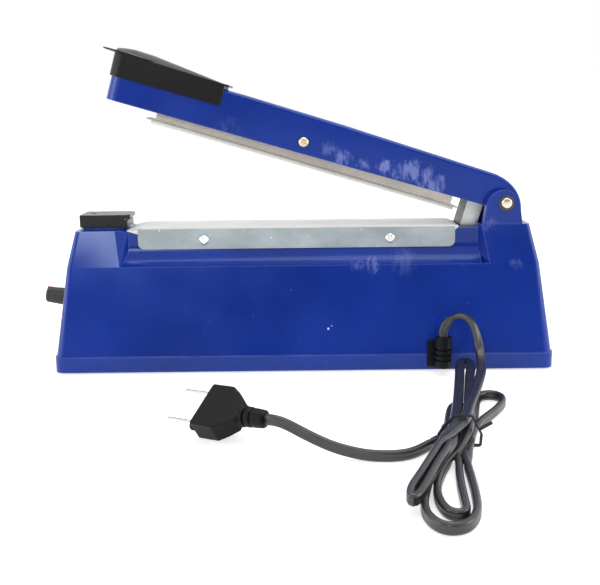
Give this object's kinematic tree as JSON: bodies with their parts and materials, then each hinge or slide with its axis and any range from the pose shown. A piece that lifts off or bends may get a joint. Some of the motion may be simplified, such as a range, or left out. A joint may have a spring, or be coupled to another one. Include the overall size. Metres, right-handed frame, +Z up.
{
  "type": "impulse heat sealer",
  "caption": "Hand-operated tabletop impulse heat sealer for bags, with a sprung hinged arm, an adjustable timer and a mains lead.",
  "frame": {"origin": "centre of the sealer's outline on the surface it stands on, without its cord, plug and strain relief", "axes": "+X from the handle end to the hinge end, +Y from the long side with the cord to the other long side, +Z up"},
  "size_m": [0.3328, 0.3085, 0.2057],
  "materials": {
    "blue_plastic": "glossy moulded plastic, royal blue",
    "black_plastic": "satin black plastic with a fine grain",
    "black_gloss": "semi-gloss black plastic",
    "rubber": "matt black rubber",
    "cord_pvc": "satin black PVC",
    "aluminium": "mill finish",
    "glass_cloth": "coated glass cloth, tan",
    "white_cloth": "coated cloth, off-white",
    "nichrome": "dull strip",
    "brass": "plain",
    "zinc_steel": "zinc plated",
    "yellow_zinc": "yellow zinc plated",
    "bright_steel": "bright",
    "silicone": "white silicone",
    "core_steel": "laminated, lacquered",
    "coil_tape": "varnished insulating tape",
    "board": "green laminate",
    "red_plastic": "red plastic",
    "grey_plastic": "dark grey plastic"
  },
  "bodies": {
    "base": {"housing": "blue_plastic", "bottom_plate": "zinc_steel", "rubber_feet": "rubber", "foot_screws": "zinc_steel", "platform": "aluminium", "insulation_strip": "glass_cloth", "heating_strip": "nichrome", "strip_terminals": "brass", "release_cloth": "white_cloth", "front_clamp_plate": "zinc_steel", "rear_clamp_plate": "zinc_steel", "clamp_screws": "bright_steel", "microswitch": "grey_plastic", "pivot_pin": "bright_steel", "pivot_washers": "zinc_steel", "return_spring": "bright_steel", "spring_post": "bright_steel", "transformer_core": "core_steel", "transformer_coil": "coil_tape", "transformer_screws": "zinc_steel", "timer_board": "board", "timer_pot": "zinc_steel", "pot_nut": "zinc_steel", "indicator_lamp": "red_plastic", "strain_relief": "rubber", "power_cord": "cord_pvc", "cord_tie": "grey_plastic", "plug_body": "rubber", "plug_pins": "bright_steel"},
    "arm": {"press_arm": "blue_plastic", "handle_cover": "black_plastic", "spring_bracket": "zinc_steel", "bracket_screws": "zinc_steel", "bar_screw": "yellow_zinc", "bar_nut": "zinc_steel"},
    "bar": {"press_bar": "aluminium", "silicone_strip": "silicone"},
    "switch": {"switch_cap": "black_gloss", "switch_plunger": "red_plastic"},
    "knob": {"timer_knob": "black_plastic", "knob_pointer": "red_plastic", "timer_shaft": "aluminium"}
  },
  "joints": [
    {"name": "arm_hinge", "type": "hinge", "parent": "base", "child": "arm", "pos_m": [0.13591, 0, 0.1052], "axis": [0, -1, 0], "range_deg": [0, 16.2], "stiffness_Nm_per_rad": 0.8, "springref_deg": -34.38, "deforming": ["return_spring"]},
    {"name": "press_bar_rock", "type": "hinge", "parent": "arm", "child": "bar", "pos_m": [0.00765, 0, 0.14444], "axis": [0, -1, 0], "range_deg": [0, 0.45]},
    {"name": "switch_press", "type": "slide", "parent": "base", "child": "switch", "axis": [0, 0, -1], "range_m": [0, 0.0008], "stiffness_N_per_m": 600, "springref_m": -0.002},
    {"name": "timer_turn", "type": "hinge", "parent": "base", "child": "knob", "pos_m": [-0.14835, 0, 0.0424], "axis": [-0.9893, 0, 0.1461], "range_deg": [-150, 150]}
  ],
  "couplings": [
    {"joint": "press_bar_rock", "follows": "arm_hinge", "ratio": 0.024691}
  ]
}
